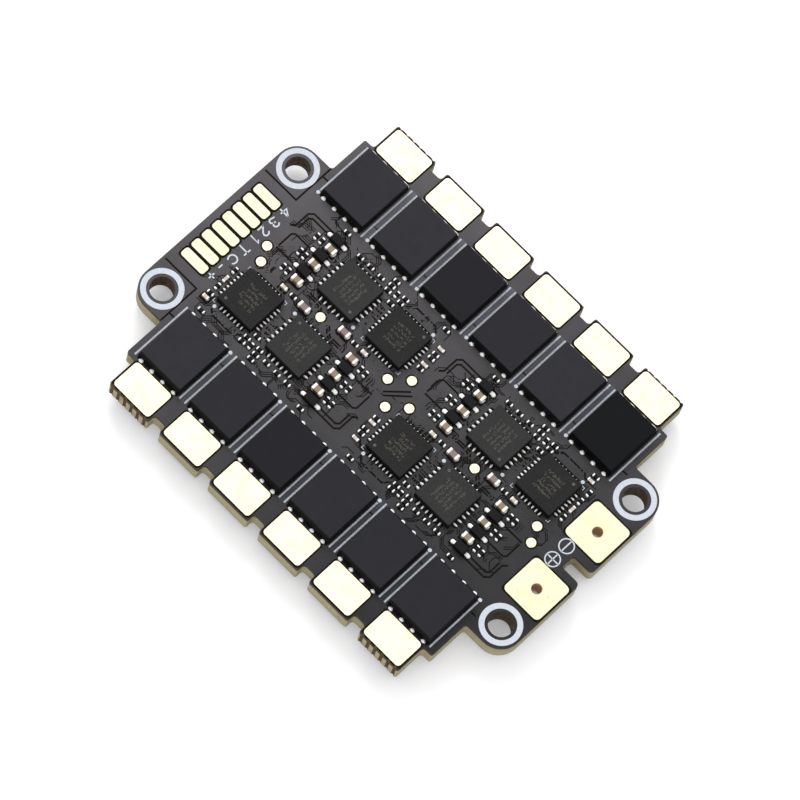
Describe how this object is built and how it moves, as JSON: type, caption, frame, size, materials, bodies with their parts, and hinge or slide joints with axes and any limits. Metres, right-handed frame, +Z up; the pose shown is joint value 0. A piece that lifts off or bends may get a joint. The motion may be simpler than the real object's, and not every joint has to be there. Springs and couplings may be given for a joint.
{
  "type": "electronic speed controller",
  "caption": "Flat circuit board that drives brushless motors from a battery, with gold solder tabs on its long edges, battery pads, a signal row and four screw lugs.",
  "frame": {"origin": "on the surface the board stands on, under the centre of its four screw holes", "axes": "+X towards the battery pads, +Y towards the side with the negative battery pad, +Z up out of the top side"},
  "size_m": [0.0442, 0.034, 0.004],
  "materials": {
    "board_laminate": "satin solder mask over glass laminate",
    "transistor_mould": "matte",
    "chip_mould": "matte",
    "gold_pads": "gold plated",
    "shunt_metal": "satin",
    "solder": "tinned",
    "ceramic": "satin ceramic",
    "component_black": "matte",
    "silkscreen": "printed ink"
  },
  "bodies": {
    "root": {"circuit_board": "board_laminate", "current_amplifier": "transistor_mould", "current_shunt": "shunt_metal", "gate_driver_m1": "chip_mould", "gate_driver_m2": "chip_mould", "gate_driver_m3": "chip_mould", "gate_driver_m4": "chip_mould", "microcontroller_m1": "chip_mould", "microcontroller_m2": "chip_mould", "microcontroller_m3": "chip_mould", "microcontroller_m4": "chip_mould", "mosfet_top_m1_a": "transistor_mould", "mosfet_top_m1_b": "transistor_mould", "mosfet_top_m1_c": "transistor_mould", "mosfet_top_m2_a": "transistor_mould", "mosfet_top_m2_b": "transistor_mould", "mosfet_top_m2_c": "transistor_mould", "mosfet_top_m3_a": "transistor_mould", "mosfet_top_m3_b": "transistor_mould", "mosfet_top_m3_c": "transistor_mould", "mosfet_top_m4_a": "transistor_mould", "mosfet_top_m4_b": "transistor_mould", "mosfet_top_m4_c": "transistor_mould", "mosfet_under_m1_a": "transistor_mould", "mosfet_under_m1_b": "transistor_mould", "mosfet_under_m1_c": "transistor_mould", "mosfet_under_m2_a": "transistor_mould", "mosfet_under_m2_b": "transistor_mould", "mosfet_under_m2_c": "transistor_mould", "mosfet_under_m3_a": "transistor_mould", "mosfet_under_m3_b": "transistor_mould", "mosfet_under_m3_c": "transistor_mould", "mosfet_under_m4_a": "transistor_mould", "mosfet_under_m4_b": "transistor_mould", "mosfet_under_m4_c": "transistor_mould", "motor_pad_m1_a": "gold_pads", "motor_pad_m1_b": "gold_pads", "motor_pad_m1_c": "gold_pads", "motor_pad_m2_a": "gold_pads", "motor_pad_m2_b": "gold_pads", "motor_pad_m2_c": "gold_pads", "motor_pad_m3_a": "gold_pads", "motor_pad_m3_b": "gold_pads", "motor_pad_m3_c": "gold_pads", "motor_pad_m4_a": "gold_pads", "motor_pad_m4_b": "gold_pads", "motor_pad_m4_c": "gold_pads", "power_pad_negative": "gold_pads", "power_pad_positive": "gold_pads", "signal_pad_current": "gold_pads", "signal_pad_motor_1": "gold_pads", "signal_pad_motor_2": "gold_pads", "signal_pad_motor_3": "gold_pads", "signal_pad_motor_4": "gold_pads", "signal_pad_negative": "gold_pads", "signal_pad_positive": "gold_pads", "signal_pad_telemetry": "gold_pads", "voltage_regulator": "transistor_mould"}
  },
  "joints": []
}
